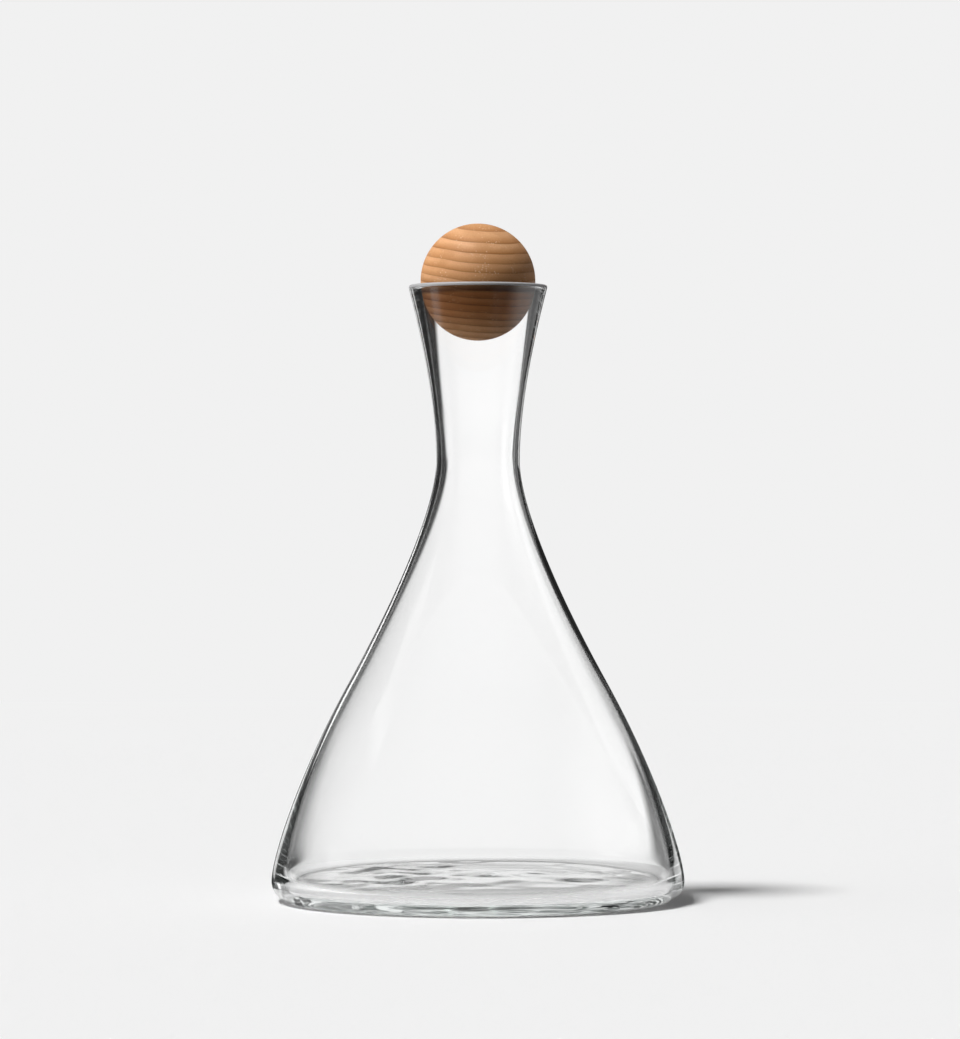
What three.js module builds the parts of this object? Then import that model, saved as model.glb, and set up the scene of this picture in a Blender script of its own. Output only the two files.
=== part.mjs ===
// Wine carafe: a blown glass body, and a turned wooden ball that stops its flared mouth.
// Lengths are in millimetres and angles in degrees. +Z is up, and the origin is the middle of the
// ring that the glass stands on.

import * as THREE from 'three';

// Outside of the glass
const bellyRadius = 82.5; // widest part, at the top of the heel
const heelRadius = 8; // rounding between the foot and the side
const shoulderRadius = 51.2; // where the side turns from bulging to hollow
const shoulderHeight = 88;
const shoulderLean = 29; // lean inwards from upright, there
const waistRadius = 16.7; // narrowest part of the neck
const waistHeight = 176;
const lipRadius = 28; // outer edge of the mouth
const lipFlare = 14.7; // lean outwards from upright, there
const mouthFlare = 9.2; // the same, inside the mouth
const glassHeight = 246.2;

// How far the side keeps its direction at each of those places before it bends away
const bellySweep = 9.4;
const shoulderSweepBelow = 41.5;
const shoulderSweepAbove = 39.3;
const waistSweepBelow = 17.8;
const waistSweepAbove = 10.4;
const lipSweep = 38.2;

// Wall, measured square to the side, and level at the rim
const bellyWall = 5.2;
const shoulderWall = 1.9;
const waistWall = 1.9;
const rimWidth = 4.65;
const rimRounding = 1.5; // on both edges of the rim
const flatOfRim = 0.2; // least share of the rim's width that stays flat

// Base
const footRingWidth = 16; // flat ring that the glass stands on
const kickHeight = 2.5; // hollow inside that ring, at its middle
const floorThickness = 5.5; // over the foot ring
const floorCrown = 1.5; // rise of the floor to its middle, inside
const floorCornerRadius = 5; // rounding between the floor and the wall, inside

// Ball stopper
const ballRadius = 23;
const seatClearance = 0.3; // between the ball and the mouth that it rests in

// Fineness of the round surfaces
const turnSteps = 56;
const sideSteps = 8; // on each stretch of the side
const roundingSteps = 4;
const domeSteps = 4;
const ballSteps = 48;
const seatSteps = 240; // places along each stretch of the side where the ball's seat is felt for

const point = (radius, height) => new THREE.Vector2(radius, height);
const radians = THREE.MathUtils.degToRad;
const quarterTurn = Math.PI / 2;

const lean = radians(shoulderLean);
const footRadius = bellyRadius - heelRadius;
const kickRadius = footRadius - footRingWidth;
const innerBellyRadius = bellyRadius - bellyWall;
const floorRadius = innerBellyRadius - floorCornerRadius;
const rimEdge = Math.min(rimRounding, (1 - flatOfRim) * rimWidth / 2);
const innerLipRadius = lipRadius - rimWidth;

// A shallow dome from the axis to an edge, as points on an arc that is level on the axis.
function dome(edgeRadius, edgeHeight, rise) {
  const arcRadius = (edgeRadius ** 2 + rise ** 2) / (2 * rise);
  const centreHeight = edgeHeight + rise - arcRadius;
  const rings = Array.from({ length: domeSteps + 1 }, (_, step) => edgeRadius * step / domeSteps);
  return rings.map((ring) => point(ring, centreHeight + Math.sqrt(arcRadius ** 2 - ring ** 2)));
}

// A quarter round from level, at the bottom, to upright.
function corner(centreRadius, centreHeight, radius) {
  const arc = new THREE.ArcCurve(centreRadius, centreHeight, radius, -quarterTurn, 0);
  return arc.getPoints(roundingSteps);
}

// One face of the side, from the belly to the lip, which it reaches with a flare of its own. The
// walls set it in from the outside, level with each place, so the outer face has none.
function side(start, walls, flare) {
  const shoulder = point(shoulderRadius - walls.shoulder / Math.cos(lean), shoulderHeight);
  const shoulderWay = point(-Math.sin(lean), Math.cos(lean));
  const waist = point(waistRadius - walls.waist, waistHeight);
  const lipWay = point(Math.sin(flare), Math.cos(flare));
  const lipInset = walls.lip + rimEdge * Math.tan(flare);
  const lip = point(lipRadius - lipInset, glassHeight - rimEdge);
  const path = new THREE.CurvePath();
  path.add(new THREE.CubicBezierCurve(
    start,
    point(start.x, start.y + bellySweep),
    shoulder.clone().addScaledVector(shoulderWay, -shoulderSweepBelow),
    shoulder,
  ));
  path.add(new THREE.CubicBezierCurve(
    shoulder,
    shoulder.clone().addScaledVector(shoulderWay, shoulderSweepAbove),
    point(waist.x, waist.y - waistSweepBelow),
    waist,
  ));
  path.add(new THREE.CubicBezierCurve(
    waist,
    point(waist.x, waist.y + waistSweepAbove),
    lip.clone().addScaledVector(lipWay, -lipSweep),
    lip,
  ));
  return path;
}

const outerSide = side(
  point(bellyRadius, heelRadius),
  { shoulder: 0, waist: 0, lip: 0 },
  radians(lipFlare),
);
const innerSide = side(
  point(innerBellyRadius, floorThickness + floorCornerRadius),
  { shoulder: shoulderWall, waist: waistWall, lip: rimWidth },
  radians(mouthFlare),
);

const outerPoints = outerSide.getPoints(sideSteps);
const innerPoints = innerSide.getPoints(sideSteps).reverse();
const outerRim = new THREE.QuadraticBezierCurve(
  outerPoints.at(-1),
  point(lipRadius, glassHeight),
  point(lipRadius - rimEdge, glassHeight),
).getPoints(roundingSteps);
const innerRim = new THREE.QuadraticBezierCurve(
  point(innerLipRadius + rimEdge, glassHeight),
  point(innerLipRadius, glassHeight),
  innerPoints[0],
).getPoints(roundingSteps);

// The glass is turned from one outline: under the base, up the outside, over the rim, down the
// inside and back to the axis. Stretches share their end points, so each drops the last one's end.
function joinStretches(stretches) {
  return stretches.reduce((outline, stretch) => outline.slice(0, -1).concat(stretch), []);
}

const underBase = dome(kickRadius, 0, kickHeight);
const heel = corner(footRadius, heelRadius, heelRadius);
const floorCorner = corner(floorRadius, floorThickness + floorCornerRadius, floorCornerRadius).reverse();
const floorDome = dome(floorRadius, floorThickness, floorCrown).reverse();
const outline = [
  ...underBase,
  ...joinStretches([heel, outerPoints, outerRim]),
  ...joinStretches([innerRim, innerPoints, floorCorner, floorDome]),
];

// The ball comes down until some ring of the mouth is the clearance away from it.
function seatHeight() {
  const reach = ballRadius + seatClearance;
  const rings = [...innerRim, ...innerSide.getPoints(seatSteps)];
  const mouth = rings.filter((ring) => ring.y > waistHeight && ring.x < reach);
  return Math.max(...mouth.map((ring) => ring.y + Math.sqrt(reach ** 2 - ring.x ** 2)));
}

function glassBody() {
  const geometry = new THREE.LatheGeometry(outline, turnSteps);
  const material = new THREE.MeshStandardMaterial({
    color: 0xeef3f1,
    roughness: 0.03,
    metalness: 0,
    transparent: true,
    opacity: 0.35,
  });
  const mesh = new THREE.Mesh(geometry, material);
  mesh.name = 'glass_body';
  mesh.rotation.x = quarterTurn;
  return mesh;
}

function ballStopper() {
  const geometry = new THREE.SphereGeometry(ballRadius, ballSteps, ballSteps / 2);
  const material = new THREE.MeshStandardMaterial({
    color: 0xc98a55,
    roughness: 0.55,
    metalness: 0,
  });
  const mesh = new THREE.Mesh(geometry, material);
  mesh.name = 'ball_stopper';
  mesh.rotation.x = quarterTurn;
  mesh.position.z = seatHeight();
  return mesh;
}

const carafe = new THREE.Group();
carafe.add(glassBody(), ballStopper());

export default carafe;
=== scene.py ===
import math

import bpy
import numpy as np
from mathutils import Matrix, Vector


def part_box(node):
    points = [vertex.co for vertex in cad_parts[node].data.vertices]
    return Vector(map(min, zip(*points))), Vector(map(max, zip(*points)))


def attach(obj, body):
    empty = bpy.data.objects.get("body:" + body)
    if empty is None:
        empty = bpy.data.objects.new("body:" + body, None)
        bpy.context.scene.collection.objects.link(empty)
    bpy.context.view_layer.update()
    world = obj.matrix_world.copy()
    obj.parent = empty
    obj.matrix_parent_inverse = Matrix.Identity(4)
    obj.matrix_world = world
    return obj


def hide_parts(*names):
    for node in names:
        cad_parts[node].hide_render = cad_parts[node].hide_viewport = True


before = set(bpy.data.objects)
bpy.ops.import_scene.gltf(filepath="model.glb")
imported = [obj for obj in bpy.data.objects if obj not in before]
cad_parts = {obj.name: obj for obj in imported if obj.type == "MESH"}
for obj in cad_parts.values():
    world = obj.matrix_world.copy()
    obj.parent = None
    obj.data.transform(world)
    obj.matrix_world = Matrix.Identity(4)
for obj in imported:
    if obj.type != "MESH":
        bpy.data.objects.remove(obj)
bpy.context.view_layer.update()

scene = bpy.context.scene
mm = 0.001               # sizes below are millimetres, meshes are metres
noiseMean = 0.5          # what a noise node gives on average
print("frame loaded:", sorted(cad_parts))


class Wire:
    # one socket of a node tree: arithmetic on it adds Math nodes, node() adds any other node
    def __init__(self, tree, socket=None):
        self.tree = tree
        self.socket = socket

    def __getitem__(self, name):   # another output of the same node
        return Wire(self.tree, self.socket.node.outputs[name])

    def node(self, kind, settings=None, sockets=None):
        made = self.tree.nodes.new("ShaderNode" + kind)
        for name, value in (settings or {}).items():
            if name == "stops":
                setStops(made.color_ramp, value)
            else:
                setattr(made, name, value)
        for name, value in (sockets or {}).items():
            if isinstance(value, Wire):
                self.tree.links.new(value.socket, made.inputs[name])
            else:
                made.inputs[name].default_value = value
        return Wire(self.tree, made.outputs[0] if made.outputs else None)

    def maths(self, operation, *values):
        return self.node("Math", {"operation": operation}, dict(enumerate(values)))

    def __add__(self, other):
        return self.maths("ADD", self, other)

    def __sub__(self, other):
        return self.maths("SUBTRACT", self, other)

    def __rsub__(self, other):
        return self.maths("SUBTRACT", other, self)

    def __mul__(self, other):
        return self.maths("MULTIPLY", self, other)

    def __truediv__(self, other):
        return self.maths("DIVIDE", self, other)

    def __pow__(self, other):
        return self.maths("POWER", self, other)

    __radd__ = __add__
    __rmul__ = __mul__


def setStops(ramp, stops):
    # a new ramp has its two end stops, and the ones between are added
    ramp.elements[0].position, ramp.elements[-1].position = stops[0][0], stops[-1][0]
    ramp.elements[0].color, ramp.elements[-1].color = (*stops[0][1], 1), (*stops[-1][1], 1)
    for place, colour in stops[1:-1]:
        ramp.elements.new(place).color = (*colour, 1)


def mixColours(graph, share, first, second, blend="MIX"):
    colours = [colour if isinstance(colour, Wire) else (*colour, 1) for colour in (first, second)]
    settings = {"data_type": "RGBA", "blend_type": blend}
    # the node's inputs 6 and 7 and its output 2 are the ones for colours
    return graph.node("Mix", settings, {0: share, 6: colours[0], 7: colours[1]})[2]


def smoothRise(graph, value, low, high):
    # 0 below low, 1 above high, smooth between
    return graph.node("MapRange", {"interpolation_type": "SMOOTHSTEP"}, {
        "Value": value, "From Min": low, "From Max": high})


def grey(graph, value):
    return graph.node("CombineColor", {}, {0: value, 1: value, 2: value})


def blankMaterial(name):
    material = bpy.data.materials.new(name)
    material.use_nodes = True
    material.node_tree.nodes.clear()
    return material, Wire(material.node_tree)


# closed surface round an axis: one pole, rings as an array (rings, turn, 3), the other pole;
# quads between neighbouring rings and a fan of triangles at each pole
def closedSurface(name, firstPole, rings, lastPole):
    count, turn = rings.shape[:2]
    points = np.vstack([[firstPole], rings.reshape(-1, 3), [lastPole]])
    here = 1 + turn * np.arange(count)[:, None] + np.arange(turn)
    after = np.roll(here, -1, axis=1)
    quads = np.stack([here[:-1], after[:-1], after[1:], here[1:]], -1).reshape(-1, 4)
    firstFan = np.stack([np.zeros(turn, int), after[0], here[0]], -1)
    lastFan = np.stack([here[-1], after[-1], np.full(turn, len(points) - 1)], -1)
    mesh = bpy.data.meshes.new(name)
    mesh.from_pydata(points.tolist(), [], firstFan.tolist() + quads.tolist() + lastFan.tolist())
    mesh.shade_smooth()
    piece = bpy.data.objects.new(name, mesh)
    scene.collection.objects.link(piece)
    return piece


def takePlace(piece, node, body):
    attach(piece, body)
    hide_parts(node)


# camera, level and far back with a long lens
cameraSetup = dict(
    away=1800,      # mm from the carafe's axis
    up=152.4,       # mm above the table
    aside=0.8,      # mm to the right, so the axis stands 2 px left of the middle
    lens=155.9,     # mm, on a 36 mm sensor along the frame's long side
    reach=400,      # metres, past the far edge of the table
)


def placeCamera(setup):
    data = bpy.data.cameras.new("longLens")
    data.lens = setup["lens"]
    data.clip_end = setup["reach"]
    camera = bpy.data.objects.new("longLens", data)
    camera.location = (setup["aside"] * mm, -setup["away"] * mm, setup["up"] * mm)
    camera.rotation_euler = (math.radians(90), 0, 0)
    scene.collection.objects.link(camera)
    scene.camera = camera


placeCamera(cameraSetup)
print("camera placed")


# glass body: the CAD's outline, finely turned, with the unevenness of blown glass
glassLow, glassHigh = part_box("glass_body")
glass = dict(
    bellyRadius=(glassHigh.x - glassLow.x) / 2 / mm,
    glassHeight=glassHigh.z / mm,
    heelRadius=8,
    shoulder=(51.2, 88), shoulderLean=29,      # radius and height where bulging turns hollow
    waist=(16.7, 176),
    lipRadius=28, lipFlare=14.7, mouthFlare=9.2,     # lean of the lip outside and inside
    bellySweep=9.4, shoulderSweep=(41.5, 39.3), waistSweep=(17.8, 10.4), lipSweep=38.2,
    bellyWall=5.2, shoulderWall=1.9, waistWall=1.9, rimWidth=4.65,
    rimRounding=1.5,
    footRingWidth=16, kickHeight=2.5,
    floorThickness=5.5, floorCrown=1.5, floorCorner=5,
    turn=240, sideSteps=44, roundSteps=12, floorSteps=32, footSteps=5,      # round, and along each
    wallWave=0.12,      # mm, slow waves of the inner face
    calm=(120, 200),    # mm up, where those waves begin to die away and are gone
    baseWave=0.80,      # mm, ripples of the floor and of the hollow under it
    rippled=[(0, 200, 0.25), (-38, 26, 1.35), (50, 16, 0.7)],     # mm to the right, mm wide, share of them
    kickShift=9,        # mm that the ripples of that hollow are moved on, so that they aren't the floor's
)


def bezier(points, steps):
    # cubic curve: the four points weighed by (1-t)^3, 3t(1-t)^2, 3t^2(1-t) and t^3
    t = np.linspace(0, 1, steps + 1)[:, None]
    a, b, c, d = np.array(points, float)
    return a * (1 - t) ** 3 + 3 * b * t * (1 - t) ** 2 + 3 * c * t ** 2 * (1 - t) + d * t ** 3


def rounding(start, corner, end, steps):
    # quadratic curve that leaves start and reaches end along the two sides of the corner
    start, corner, end = np.array([start, corner, end], float)
    return bezier([start, (start + 2 * corner) / 3, (end + 2 * corner) / 3, end], steps)


def arc(centre, radius, fromAngle, toAngle, steps):
    # points of a circle, by the cosine and sine of the angles between the two, in degrees
    turn = np.radians(np.linspace(fromAngle, toAngle, steps + 1))
    return np.stack([centre[0] + radius * np.cos(turn), centre[1] + radius * np.sin(turn)], -1)


def dome(edgeRadius, edgeHeight, rise, steps):
    # arc that is level on the axis and falls by the rise at its edge
    bend = (edgeRadius ** 2 + rise ** 2) / (2 * rise)
    ring = np.linspace(0, edgeRadius, steps + 1)
    return np.stack([ring, edgeHeight + rise - bend + np.sqrt(bend ** 2 - ring ** 2)], -1)


def glassSide(g, start, walls, flare):
    # three cubic stretches, belly to shoulder to waist to lip, set in by the wall at each place
    lean, flare = np.radians([g["shoulderLean"], flare])
    leanWay, flareWay = np.array([[-np.sin(lean), np.cos(lean)], [np.sin(flare), np.cos(flare)]])
    up = np.array([0, 1])
    belly = np.array(start)
    shoulder = np.array(g["shoulder"]) - [walls[0] / np.cos(lean), 0]
    waist = np.array(g["waist"]) - [walls[1], 0]
    rim = np.array([g["lipRadius"] - walls[2], g["glassHeight"]])
    lip = rim - g["rimRounding"] * np.array([np.tan(flare), 1])
    belowShoulder, aboveShoulder = np.outer([-1, 1] * np.array(g["shoulderSweep"]), leanWay) + shoulder
    belowWaist, aboveWaist = np.outer([-1, 1] * np.array(g["waistSweep"]), up) + waist
    stretches = [
        [belly, belly + up * g["bellySweep"], belowShoulder, shoulder],
        [shoulder, aboveShoulder, belowWaist, waist],
        [waist, aboveWaist, lip - flareWay * g["lipSweep"], lip]]
    return np.vstack([[belly]] + [bezier(points, g["sideSteps"])[1:] for points in stretches])


def glassOutline(g):
    # (radius, height) from the axis under the base, up the outside, over the rim, down the inside
    # and back to the axis, with the name of the stretch that each point belongs to
    footRadius = g["bellyRadius"] - g["heelRadius"]
    innerBelly = g["bellyRadius"] - g["bellyWall"]
    floorRadius = innerBelly - g["floorCorner"]
    cornerTop = g["floorThickness"] + g["floorCorner"]
    top = g["glassHeight"]
    innerLip = g["lipRadius"] - g["rimWidth"]
    walls = g["shoulderWall"], g["waistWall"], g["rimWidth"]
    outside = glassSide(g, (g["bellyRadius"], g["heelRadius"]), (0, 0, 0), g["lipFlare"])
    inside = glassSide(g, (innerBelly, cornerTop), walls, g["mouthFlare"])
    outerEdge, innerEdge = g["lipRadius"] - g["rimRounding"], innerLip + g["rimRounding"]
    kickRadius = footRadius - g["footRingWidth"]
    stretches = dict(
        kick=dome(kickRadius, 0, g["kickHeight"], g["floorSteps"]),
        foot=np.linspace([kickRadius, 0], [footRadius, 0], g["footSteps"] + 1)[1:],
        heel=arc((footRadius, g["heelRadius"]), g["heelRadius"], -90, 0, g["roundSteps"])[1:],
        outside=outside[1:],
        outerRim=rounding(outside[-1], (g["lipRadius"], top), (outerEdge, top), g["roundSteps"])[1:],
        innerRim=rounding((innerEdge, top), (innerLip, top), inside[-1], g["roundSteps"]),
        inside=inside[-2::-1],
        corner=arc((floorRadius, cornerTop), g["floorCorner"], 0, -90, g["roundSteps"])[1:],
        floor=dome(floorRadius, g["floorThickness"], g["floorCrown"], g["floorSteps"])[-2::-1])
    belongs = np.concatenate([np.full(len(points), name) for name, points in stretches.items()])
    return np.vstack(list(stretches.values())), belongs


def slowWaves(angle, height):
    # sum of a few sines round the axis that also lean with the height, between about -1 and 1
    waves = [(2, 0.021, 0.3, 0.45), (3, -0.034, 1.9, 0.3), (5, 0.05, 4.1, 0.2), (1, 0.06, 2.2, 0.25)]
    return sum(size * np.sin(times * angle + lean * height + shift) for times, lean, shift, size in waves)


def ripples(x, y):
    # sum of plane waves across the base, 10 to 34 mm long, between about -1 and 1
    waves = [(0.19, 0.08, 0.4, 0.35), (-0.11, 0.24, 2.0, 0.3), (0.07, -0.17, 3.3, 0.3),
             (0.30, 0.12, 5.0, 0.18), (0.13, 0.38, 1.2, 0.16), (-0.29, 0.31, 4.4, 0.12),
             (0.47, -0.35, 0.8, 0.06), (0.22, 0.61, 3.9, 0.05)]
    return sum(size * np.sin(alongX * x + alongY * y + shift) for alongX, alongY, shift, size in waves)


def makeGlass(g):
    # the outline carried round the axis, the inner face moved in and out by slow waves, and the floor
    # and the hollow under the base moved up and down by ripples
    outline, belongs = glassOutline(g)
    radius, height = outline[:, :1], outline[:, 1:]
    angle = np.linspace(0, 2 * np.pi, g["turn"], endpoint=False)[None, :]
    inner = np.isin(belongs, ["inside", "corner"])[:, None]
    wave = g["wallWave"] * np.interp(height, g["calm"], [1, 0])     # the neck and the mouth are true
    onFloor = (belongs == "floor")[:, None]
    onKick = (belongs == "kick")[:, None]
    radius = radius + inner * wave * slowWaves(angle, height)
    x, y = radius * np.cos(angle), radius * np.sin(angle)
    # ripples are strongest on the left, and die away to the edges of the floor and of the hollow under it
    rippled = sum(size * np.exp(-((x - middle) / spread) ** 2) for middle, spread, size in g["rippled"])
    floorShare = onFloor * np.clip(1 - radius / radius[belongs == "floor"].max(), 0, 1) ** 0.5
    kickShare = onKick * height / g["kickHeight"]
    under = ripples(y + g["kickShift"], x)
    height = height + g["baseWave"] * rippled * (floorShare * ripples(x, y) + kickShare * under)
    rings = np.stack([x, y, np.broadcast_to(height, x.shape)], -1) * mm
    piece = closedSurface("blown_glass", rings[0].mean(0), rings[1:-1], rings[-1].mean(0))
    ground = (belongs == "outerRim")[1:-1].astype(float)
    values = np.concatenate([[0], np.repeat(ground, g["turn"]), [0]]).astype(np.float32)
    piece.data.attributes.new("ground", "FLOAT", "POINT").data.foreach_set("value", values)
    return piece


clearGlass = dict(
    ior=1.52,
    tint=(0.90, 0.96, 0.94), depth=4.0,     # faint green in long paths through the wall
    cordsPerMetre=22, cordBump=0.02, cordDepth=2,       # mm, streaks that the gather leaves in the glass
    frost=(0.60, 0.595, 0.605), frostShare=0.8, frostRoughness=0.6,      # the rim is ground
)


def clearGlassMaterial(setup):
    material, graph = blankMaterial("clear_glass")
    ground = graph.node("Attribute", {"attribute_name": "ground"})["Fac"]
    place = graph.node("TexCoord")["Object"]
    cords = graph.node("TexNoise", {}, {"Vector": place, "Scale": setup["cordsPerMetre"], "Detail": 1.5})
    lines = graph.node("Bump", {}, {
        "Strength": setup["cordBump"], "Distance": setup["cordDepth"] * mm, "Height": cords})
    clear = graph.node("BsdfPrincipled", {}, {
        "Base Color": (1, 1, 1, 1), "Transmission Weight": 1, "IOR": setup["ior"],
        "Roughness": ground * setup["frostRoughness"], "Normal": lines})
    frosted = graph.node("BsdfPrincipled", {}, {
        "Base Color": (*setup["frost"], 1), "Roughness": setup["frostRoughness"], "IOR": setup["ior"]})
    surface = graph.node("MixShader", {}, {0: ground * setup["frostShare"], 1: clear, 2: frosted})
    depth = graph.node("VolumeAbsorption", {}, {"Color": (*setup["tint"], 1), "Density": setup["depth"]})
    graph.node("OutputMaterial", {}, {"Surface": surface, "Volume": depth})
    return material


glassPiece = makeGlass(glass)
glassPiece.data.materials.append(clearGlassMaterial(clearGlass))
takePlace(glassPiece, "glass_body", "carafe")
print("glass turned:", len(glassPiece.data.polygons), "faces")


# ball stopper: a turned ball, a hair out of round from sanding
ballLow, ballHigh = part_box("ball_stopper")
ball = dict(
    centre=np.array((ballLow + ballHigh) / 2),
    radius=(ballHigh.z - ballLow.z) / 2 / mm,
    turn=160, rings=96,         # steps round the axis, and from pole to pole
    outOfRound=0.04,     # mm
    turnShift=0.7, polarShare=0.5,     # where its wave round the axis starts, and share of the upright one
)


def makeBall(b):
    # sphere by latitude and longitude, its radius less a share of outOfRound that grows and shrinks
    # twice round the axis, most at the equator, and one and a half times from pole to pole
    latitude = np.linspace(-np.pi / 2, np.pi / 2, b["rings"] + 1)[:, None]
    longitude = np.linspace(0, 2 * np.pi, b["turn"], endpoint=False)[None, :]
    roundAxis = np.sin(2 * longitude + b["turnShift"]) * np.cos(latitude) ** 2
    uneven = roundAxis + np.sin(3 * latitude) * b["polarShare"]
    radius = b["radius"] - b["outOfRound"] * (1 + uneven / (1 + b["polarShare"])) / 2
    level = np.cos(latitude) * np.ones_like(longitude)
    upward = np.sin(latitude) * np.ones_like(longitude)
    rings = np.stack([level * np.cos(longitude), level * np.sin(longitude), upward], -1)
    rings = b["centre"] + rings * radius[..., None] * mm
    return closedSurface("turned_ball", rings[0].mean(0), rings[1:-1], rings[-1].mean(0))


oiledWood = dict(
    turned=(5, 2, 0),               # degrees that the trunk leans in the ball
    pith=(8, 200),                  # mm right of and above the ball's middle
    spacing=(5.2, 2.4),             # mm between growth rings, at the top and at the bottom
    firstRing=10.45,                # where the count of rings starts
    wander=0.6, wanderScale=0.055,  # mm that a ring strays, and how often it does per mm
    light=(0.90, 0.51, 0.26), middle=(0.75, 0.38, 0.165),
    late=(0.60, 0.275, 0.105), line=(0.45, 0.185, 0.06),
    # share of a year that has passed, and the colour of the wood then
    year=[(0.0, "line"), (0.05, "light"), (0.3, "light"), (0.6, "middle"), (0.84, "late"),
          (0.95, "line"), (1.0, "line")],
    evenShare=0.55,                 # of the middle colour, in the year that shows least
    fibreScale=(1.9, 0.10, 1.9),    # per mm, across and along the trunk
    fibreAbove=0.35, fibreShare=0.6,
    cloudScale=0.11, cloudAbove=(0.50, 0.72), cloudShare=0.35,
    fleck=(0.97, 0.69, 0.46), fleckScale=0.9, fleckEdge=(0.12, 0.34), fleckShare=0.68,
    patchScale=0.16, patchAbove=(0.50, 0.61),       # noise levels between which flecks set in
    damp=(0.80, 0.62, 0.44),                        # painted shade: the part in the mouth, shaded by the rim, is darker and more saturated
    dampBelow=(2.0, 5.0, 11.0, 21.0),               # mm below the middle: starts, full, fades, ends
    seatBelow=3.4, seatHalf=(0.66, 2.2), seatTone=0.32,     # mm, painted contact shadow: a dark ring where it rests on the glass
    relief=0.10, reliefDepth=0.3, ringRelief=0.4,           # strength, mm, and share of the rings in it
    roughness=0.55, fibreRoughness=0.2, ringRoughness=0.06,
    specular=0.2,
)


def oiledWoodMaterial(setup, b):
    material, graph = blankMaterial("oiled_wood")
    upright = graph.node("Mapping", {"vector_type": "TEXTURE"}, {       # mm from the middle
        "Vector": graph.node("TexCoord")["Object"], "Location": tuple(b["centre"]), "Scale": (mm, mm, mm)})
    place = graph.node("Mapping", {"vector_type": "TEXTURE"}, {         # the same, along the trunk
        "Vector": upright, "Rotation": tuple(np.radians(setup["turned"]))})
    across = graph.node("SeparateXYZ", {}, {"Vector": place})
    x, z = across["X"], across["Z"]
    pithX, pithZ = setup["pith"]
    stray = graph.node("TexNoise", {}, {"Vector": place, "Scale": setup["wanderScale"], "Detail": 2})
    fromPith = ((x - pithX) ** 2 + (pithZ - z) ** 2) ** 0.5 + (stray - noiseMean) * (2 * setup["wander"])
    # rings get closer outwards: their number grows with the depth below the top and with its square
    size = 2 * b["radius"]
    depth = (fromPith - (pithZ - b["radius"])) / size
    few, many = [size / spacing for spacing in setup["spacing"]]
    count = depth * few + depth * depth * ((many - few) / 2) + setup["firstRing"]
    ring = graph.maths("FRACT", count)
    number = graph.maths("FLOOR", count)
    evenness = graph.node("TexWhiteNoise", {"noise_dimensions": "1D"}, {"W": number})["Value"]
    # each year is palest soon after it starts and darkens to a soft line, and some years hardly show
    stops = [(passed, setup[name]) for passed, name in setup["year"]]
    wood = graph.node("ValToRGB", {"stops": stops}, {"Fac": ring})
    wood = mixColours(graph, evenness * setup["evenShare"], wood, setup["middle"])
    # fibres run along the trunk, so they are dots on its end and streaks on its sides
    fibrePlace = graph.node("VectorMath", {"operation": "MULTIPLY"}, {0: place, 1: setup["fibreScale"]})
    fibre = graph.node("TexNoise", {}, {"Vector": fibrePlace, "Scale": 1.0, "Detail": 3, "Roughness": 0.6})
    fibreShare = (fibre - setup["fibreAbove"]) * setup["fibreShare"]
    wood = mixColours(graph, fibreShare, wood, setup["late"], "MULTIPLY")
    # broad clouds are darker
    cloud = graph.node("TexNoise", {}, {"Vector": place, "Scale": setup["cloudScale"], "Detail": 1})
    cloudShare = smoothRise(graph, cloud, *setup["cloudAbove"]) * setup["cloudShare"]
    wood = mixColours(graph, cloudShare, wood, setup["late"])
    # rays cross the rings as small pale flecks, in patches
    fleckCells = {"Vector": place, "Scale": setup["fleckScale"], "Randomness": 1.0}
    fromFleck = graph.node("TexVoronoi", {}, fleckCells)["Distance"]
    patch = graph.node("TexNoise", {}, {"Vector": place, "Scale": setup["patchScale"], "Detail": 1})
    inPatch = smoothRise(graph, patch, *setup["patchAbove"])
    fleckShare = (1 - smoothRise(graph, fromFleck, *setup["fleckEdge"])) * inPatch * setup["fleckShare"]
    wood = mixColours(graph, fleckShare, wood, setup["fleck"])
    # painted shade: the wood in the mouth, below the rim, is darkened and made more saturated
    below = 0 - graph.node("SeparateXYZ", {}, {"Vector": upright})["Z"]
    starts, full, fades, ends = setup["dampBelow"]
    mouthShadeShare = smoothRise(graph, below, starts, full) * (1 - smoothRise(graph, below, fades, ends))
    wood = mixColours(graph, mouthShadeShare, wood, setup["damp"], "MULTIPLY")
    # painted contact shadow: a dark ring where the ball rests on the glass
    offSeatShadow = graph.maths("ABSOLUTE", below - setup["seatBelow"])
    seatShadowShare = 1 - smoothRise(graph, offSeatShadow, *setup["seatHalf"])
    wood = mixColours(graph, seatShadowShare, wood, (setup["seatTone"],) * 3, "MULTIPLY")
    relief = graph.node("Bump", {}, {
        "Strength": setup["relief"], "Distance": setup["reliefDepth"] * mm,
        "Height": fibre - ring * setup["ringRelief"]})
    roughness = setup["roughness"] + (fibre - noiseMean) * setup["fibreRoughness"]
    shader = graph.node("BsdfPrincipled", {}, {
        "Base Color": wood, "Roughness": roughness + ring * setup["ringRoughness"],
        "Specular IOR Level": setup["specular"], "Normal": relief})
    graph.node("OutputMaterial", {}, {"Surface": shader})
    return material


ballPiece = makeBall(ball)
ballPiece.data.materials.append(oiledWoodMaterial(oiledWood, ball))
takePlace(ballPiece, "ball_stopper", "stopper")
print("ball turned:", len(ballPiece.data.polygons), "faces")


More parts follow.
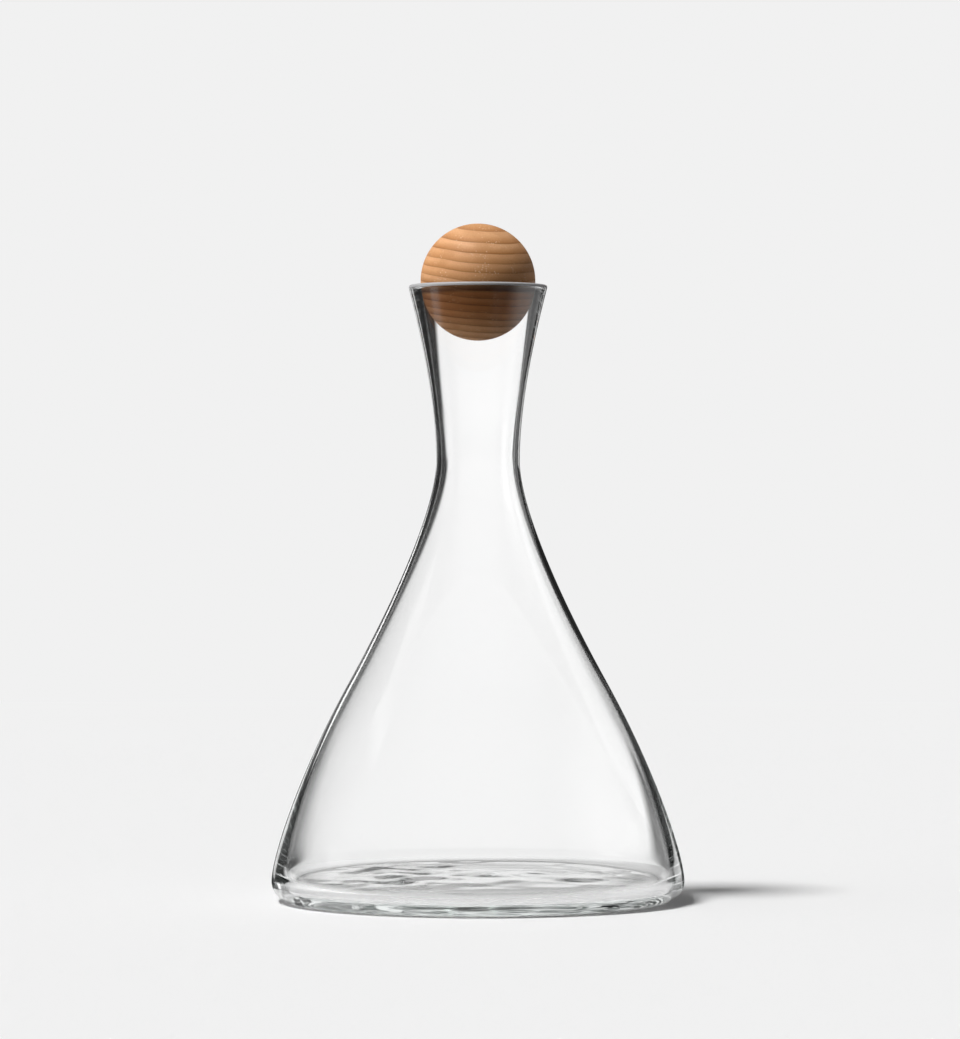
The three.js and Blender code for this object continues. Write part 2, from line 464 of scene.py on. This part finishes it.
# table and studio: a pale table without end, a soft key from the left and, seen only in the glass,
# a panorama of bright walls and dark flags
studio = dict(
    backdrop=0.879,         # how bright the table and what lies behind it look
    behindGlass=1.0,        # the same, seen through the glass
    tableColour=0.85,       # share that the table sends back of the light that falls on it
    litBehindGlass=0.4,     # share of that light that is seen through the glass
    mirroredTable=0.35,     # share of the table's brightness that is seen mirrored across the hollow
    tableBounce=(0.14, 1.5),        # share of its light that lights the carafe, front right and back left
    bounceAcross=(-0.2, 0.4),       # metres from the front right to the back left
    drop=0.1,               # mm between the foot ring and the table, so that they don't share a plane
    hole=0.1,               # mm, radius of the table that is left open at the axis
    nearTable=96,           # mm, radius of the part of the table that the glass shows
    farTable=200000,        # mm, radius of the whole table
    turn=96,                # steps round it
    fade=(1.0, 2.0),        # metres from the carafe, where the table's light gives way to its glow
    keyTurn=28, keyRise=65,         # degrees round from the left, and up
    keys=[(6, 0.90), (25, 0.08)],   # degrees half across, and what a white card facing it sends back
    ambient=(0.0, 0.5),             # light from the right and from the left
    ceiling=0.05,                   # light from straight above
    back=0.14,                      # light from straight behind
    under=(0.14, 1.0),              # light off the table through the glass, from front right and back left
    underAcross=(-0.6, 1.0),        # from the front right to the back left, as the direction's Y less its X
    underDown=(0.0, 0.2),           # sines of the angles below level, where that light sets in and is full
    # panorama: degrees to the right of straight behind the carafe, and how bright it is there, at five
    # heights from the carafe's level and above down to the table, and as mirrored in the glass
    level=[(-180, 0.05), (-112, 0.05), (-102, 0.3), (-97, 0.9), (-83, 0.9), (-78, 0.15), (-60, 0.015),
           (-11, 0.015), (-9.6, 0.5), (-8.6, 1.0), (0, 1.11), (8, 1.1), (13, 1.12), (17.5, 1.2),
           (19.5, 0.06), (52, 0.08), (64, 1.0), (98, 1.0), (120, 0.05), (180, 0.05)],
    middle=[(-180, 0.05), (-112, 0.05), (-102, 0.3), (-97, 0.9), (-83, 0.9), (-78, 0.15), (-60, 0.015),
            (-13, 0.015), (-11.6, 0.5), (-10.4, 1.0), (0, 1.07), (8, 1.06), (12, 1.12), (14.5, 1.4),
            (16.5, 0.06), (52, 0.08), (64, 1.0), (98, 1.0), (120, 0.05), (180, 0.05)],
    below=[(-180, 0.05), (-112, 0.05), (-102, 0.3), (-97, 0.9), (-83, 0.9), (-78, 0.15), (-60, 0.02),
           (-20, 0.05), (-17.3, 0.28), (-15, 0.36), (-11.7, 0.6), (-9.5, 0.78), (-8, 0.98), (-6.5, 1.08),
           (-4.6, 1.07), (-2, 1.05), (3.5, 1.05), (5, 1.08), (7, 1.15), (8.2, 1.25), (9.3, 1.25),
           (10.3, 0.06), (52, 0.08), (64, 1.0), (98, 1.0), (108, 0.1), (116, 0.1), (121, 1.0), (149, 1.0),
           (156, 0.05), (180, 0.05)],
    low=[(-180, 0.02), (-110, 0.02), (-100, 0.9), (-80, 0.9), (-72, 0.05), (-61, 0.05), (-56, 1.0),
         (-34, 1.0), (-29, 0.05), (-12, 0.05), (-8, 1.0), (8, 1.0), (14, 0.1), (30, 0.3), (60, 0.8),
         (95, 0.8), (103, 0.1), (117, 0.1), (122, 1.0), (148, 1.0), (153, 0.1), (180, 0.02)],
    lowest=[(-180, 0.02), (-61, 0.05), (-56, 1.0), (-34, 1.0), (-29, 0.05), (30, 0.1), (60, 0.3),
            (95, 0.3), (110, 0.02), (180, 0.02)],
    mirrored=[(-180, 0.02), (-120, 0.02), (-95, 0.2), (-75, 0.06), (-40, 0.03), (4, 0.05), (38, 0.05),
              (44, 0.9), (62, 0.9), (72, 1.4), (96, 1.4), (128, 0.05), (180, 0.02)],
    # share that is seen of what was also reflected inside the glass, and, near the carafe's level, of
    # what stayed in one wall and of what crossed the hollow
    glanced=[(-180, 0.15), (-105, 0.15), (-95, 1.0), (35, 1.0), (45, 0.7), (95, 0.7), (105, 0.15),
             (180, 0.15)],
    inWall=[(-180, 1.0), (-8, 1.0), (-2, 0.0), (22, 0.0), (60, 0.05), (105, 0.1), (140, 1.0), (180, 1.0)],
    inHollow=[(-180, 1.0), (4, 1.0), (8, 0.0), (22, 0.0), (60, 0.05), (105, 0.1), (140, 1.0), (180, 1.0)],
    nearLevel=0.16,         # sine of the height up or down where that ends
    mirroredSky=0.04, mirroredSkyAbove=(0.12, 0.20),        # what the floor of the hollow mirrors higher up
    often=0.92,             # what was reflected or passed on many times, on its way through the base
    oftenReflected=(3.5, 7.5), oftenPassed=(4.4, 6.6),      # how many times, where that sets in and is full
    oftenAlong=(0.35, 0.65),        # how far along Y, since it is left out at the sides
    overhead=0.12,          # what is high above
    # sines of the heights where each of these gives way to the next
    lowAbove=(-0.44, -0.36), belowAbove=(-0.20, -0.13), middleAbove=(-0.055, -0.02),
    levelAbove=(-0.015, 0.03), overheadAbove=(0.45, 0.70),
    # small bright panels that only reflections show: degrees right of behind and up, half width,
    # half height, brightness
    panels=[(-33, -6, 2.5, 3, 2.2), (-17, 0, 5, 2.5, 1.2), (-23, 10, 3, 3, 3.0), (-86, 42, 9, 9, 2.0),
            (28, -2.2, 8, 1.2, 0.8), (28, 0.5, 8, 2.2, 1.4)],
    panelEdge=(0.7, 1.3),           # share of a panel's half width or height where it fades
)
facesPassed = dict(inWall=2, inHollow=4)        # by a ray that stays in one wall, or crosses the hollow
halfFace = 0.5                                  # tells whole numbers of faces apart
leftPower = 4                                   # how the light from the left falls off to the right
leftMean, ceilingMean, backMean = 21 / 128, 2 / 3, 1 / 8     # of the sky's lights, weighed by the height


def fallsOn(graph):
    # 0 for what is seen straight, through glass or mirrored in it, and 1 for light on its way to
    # the wood or the table
    path = graph.node("LightPath")
    straight = path["Is Camera Ray"] + path["Is Transmission Ray"] + path["Is Glossy Ray"]
    scattered = graph.maths("MINIMUM", path["Diffuse Depth"], 1)
    return 1 - graph.maths("MINIMUM", straight, 1) * (1 - scattered)


def tableMaterial(s):
    # the glow makes up what the light on the open table lacks of the backdrop's brightness
    right, left = s["ambient"]
    fromKey = sum(strength for half, strength in s["keys"]) * math.sin(math.radians(s["keyRise"]))
    fromAmbient = right + (left - right) * leftMean
    fromSky = fromKey + fromAmbient + s["ceiling"] * ceilingMean + s["back"] * backMean
    glow = s["backdrop"] - s["tableColour"] * fromSky
    material, graph = blankMaterial("pale_table")
    falls = fallsOn(graph)
    seen = 1 - falls
    path = graph.node("LightPath")
    through = path["Is Transmission Ray"]
    leastFaces = facesPassed["inHollow"] - halfFace
    acrossHollow = graph.maths("GREATER_THAN", path["Transmission Depth"], leastFaces)
    mirrored = graph.maths("MINIMUM", path["Glossy Depth"], 1) * acrossHollow
    dimmed = 1 - seen * mirrored * (1 - s["mirroredTable"])
    # seen through the glass, less of the light shows and the glow makes up for that too
    unlit = through * (1 - s["litBehindGlass"])
    spot = graph.node("TexCoord")["Object"]
    place = graph.node("SeparateXYZ", {}, {"Vector": spot})
    least, most = s["tableBounce"]
    bounce = least + (most - least) * smoothRise(graph, place["Y"] - place["X"], *s["bounceAcross"])
    distance = graph.node("VectorMath", {"operation": "LENGTH"}, {0: spot})["Value"]
    faded = seen * smoothRise(graph, distance, *s["fade"])
    shade = s["tableColour"] * (1 - falls * (1 - bounce)) * (1 - seen * unlit) * dimmed * (1 - faded)
    lit = graph.node("BsdfDiffuse", {}, {"Color": grey(graph, shade)})
    shine = seen * (glow + through * (s["behindGlass"] - s["backdrop"]) + unlit * (s["backdrop"] - glow))
    shine = shine * dimmed + faded * (s["backdrop"] - glow)
    own = graph.node("Emission", {}, {"Color": grey(graph, shine), "Strength": 1})
    graph.node("OutputMaterial", {}, {"Surface": graph.node("AddShader", {}, {0: lit, 1: own})})
    material.cycles.emission_sampling = "NONE"
    return material


def makeTable(s):
    # two flat rings round the axis, by radius and angle: only the near one shows in the glass
    material = tableMaterial(s)
    angle = np.linspace(0, 2 * np.pi, s["turn"], endpoint=False)
    circle = np.stack([np.cos(angle), np.sin(angle)], -1)
    here = np.arange(s["turn"])
    after = np.roll(here, -1)
    parts = [("table_near", s["hole"], s["nearTable"]), ("table_far", s["nearTable"], s["farTable"])]
    for name, inner, outer in parts:
        mesh = bpy.data.meshes.new(name)
        points = np.vstack([circle * inner, circle * outer])
        points = np.column_stack([points, np.full(len(points), -s["drop"])]) * mm
        faces = np.stack([here, here + s["turn"], after + s["turn"], after], -1)
        mesh.from_pydata(points.tolist(), [], faces.tolist())
        mesh.materials.append(material)
        table = bpy.data.objects.new(name, mesh)
        scene.collection.objects.link(table)
        table.visible_transmission = table.visible_glossy = name == "table_near"


def makeWorld(s):
    world = bpy.data.worlds.new("studio")
    world.use_nodes = True
    world.node_tree.nodes.clear()
    graph = Wire(world.node_tree)
    ways = graph.node("TexCoord")["Generated"]
    way = graph.node("SeparateXYZ", {}, {"Vector": ways})
    # 0.5 straight behind the carafe, more to the right, and 0 and 1 straight in front
    turn = graph.maths("ARCTAN2", way["X"], way["Y"]) / (2 * math.pi) + 0.5

    def panorama(name):
        stops = [(angle / 360 + 0.5, (tone, tone, tone)) for angle, tone in s[name]]
        return graph.node("ValToRGB", {"stops": stops}, {"Fac": turn})

    path = graph.node("LightPath")
    seen = panorama("lowest")
    for name in ["low", "below", "middle", "level"]:
        seen = mixColours(graph, smoothRise(graph, way["Z"], *s[name + "Above"]), seen, panorama(name))
    glanced = graph.maths("MINIMUM", path["Glossy Depth"], 1)
    seen = mixColours(graph, glanced, seen, panorama("glanced"), "MULTIPLY")
    glancedLevel = glanced * graph.maths("LESS_THAN", graph.maths("ABSOLUTE", way["Z"]), s["nearLevel"])
    for name, faces in facesPassed.items():
        there = graph.maths("COMPARE", path["Transmission Depth"], faces, halfFace)
        seen = mixColours(graph, glancedLevel * there, seen, panorama(name), "MULTIPLY")
    inSky = glanced * smoothRise(graph, way["Z"], *s["mirroredSkyAbove"])
    seen = mixColours(graph, inSky, seen, (s["mirroredSky"],) * 3)
    # how far a direction lies from each panel's middle, in halves of its width or height
    rise = graph.maths("ARCSINE", way["Z"]) * (180 / math.pi)
    mirrored = panorama("mirrored")
    for panelTurn, panelRise, halfWidth, halfHeight, bright in s["panels"]:
        aside = graph.maths("ABSOLUTE", (turn - 0.5) * 360 - panelTurn) / halfWidth
        apart = graph.maths("ABSOLUTE", rise - panelRise) / halfHeight
        inside = 1 - smoothRise(graph, graph.maths("MAXIMUM", aside, apart), *s["panelEdge"])
        mirrored = mixColours(graph, inside, mirrored, (bright,) * 3)
    seen = mixColours(graph, path["Is Transmission Ray"], mirrored, seen)
    seen = mixColours(graph, smoothRise(graph, way["Z"], *s["overheadAbove"]), seen, (s["overhead"],) * 3)
    reflected = smoothRise(graph, path["Glossy Depth"], *s["oftenReflected"])
    passed = smoothRise(graph, path["Transmission Depth"], *s["oftenPassed"])
    often = graph.maths("MAXIMUM", reflected, passed)
    often = often * smoothRise(graph, graph.maths("ABSOLUTE", way["Y"]), *s["oftenAlong"])
    seen = mixColours(graph, often * path["Is Transmission Ray"], seen, (s["often"],) * 3)
    seen = mixColours(graph, path["Is Camera Ray"], seen, (s["backdrop"],) * 3)
    # what lights the wood and the table: soft light from all round, and the key
    right, left = s["ambient"]
    ambient = right + (left - right) * ((1 - way["X"]) * 0.5) ** leftPower
    ambient = ambient + graph.maths("MAXIMUM", way["Z"], 0) * s["ceiling"]
    ambient = ambient + graph.maths("MAXIMUM", way["Y"], 0) ** 2 * s["back"]
    least, most = s["under"]
    under = least + (most - least) * smoothRise(graph, way["Y"] - way["X"], *s["underAcross"])
    ambient = ambient + under * smoothRise(graph, 0 - way["Z"], *s["underDown"])
    keyTurn, keyRise = np.radians([s["keyTurn"], s["keyRise"]])
    toKey = (-np.cos(keyRise) * np.cos(keyTurn), -np.cos(keyRise) * np.sin(keyTurn), np.sin(keyRise))
    facing = graph.node("VectorMath", {"operation": "DOT_PRODUCT"}, {0: ways, 1: toKey})["Value"]
    # each disc of the key is as bright as gives its strength on a card that faces it
    for half, strength in s["keys"]:
        edge = math.radians(half)
        inDisc = graph.maths("GREATER_THAN", facing, math.cos(edge))
        ambient = ambient + inDisc * (strength / math.sin(edge) ** 2)
    light = mixColours(graph, fallsOn(graph), seen, grey(graph, ambient))
    background = graph.node("Background", {}, {"Color": light, "Strength": 1})
    graph.node("OutputWorld", {}, {"Surface": background})
    scene.world = world


makeTable(studio)
makeWorld(studio)
print("studio set")

scene.view_settings.view_transform = "Standard"
scene.cycles.max_bounces = 64            # the thick base passes light on by many inner reflections
scene.cycles.transmission_bounces = 32
scene.cycles.glossy_bounces = 48
scene.cycles.sample_clamp_indirect = 0
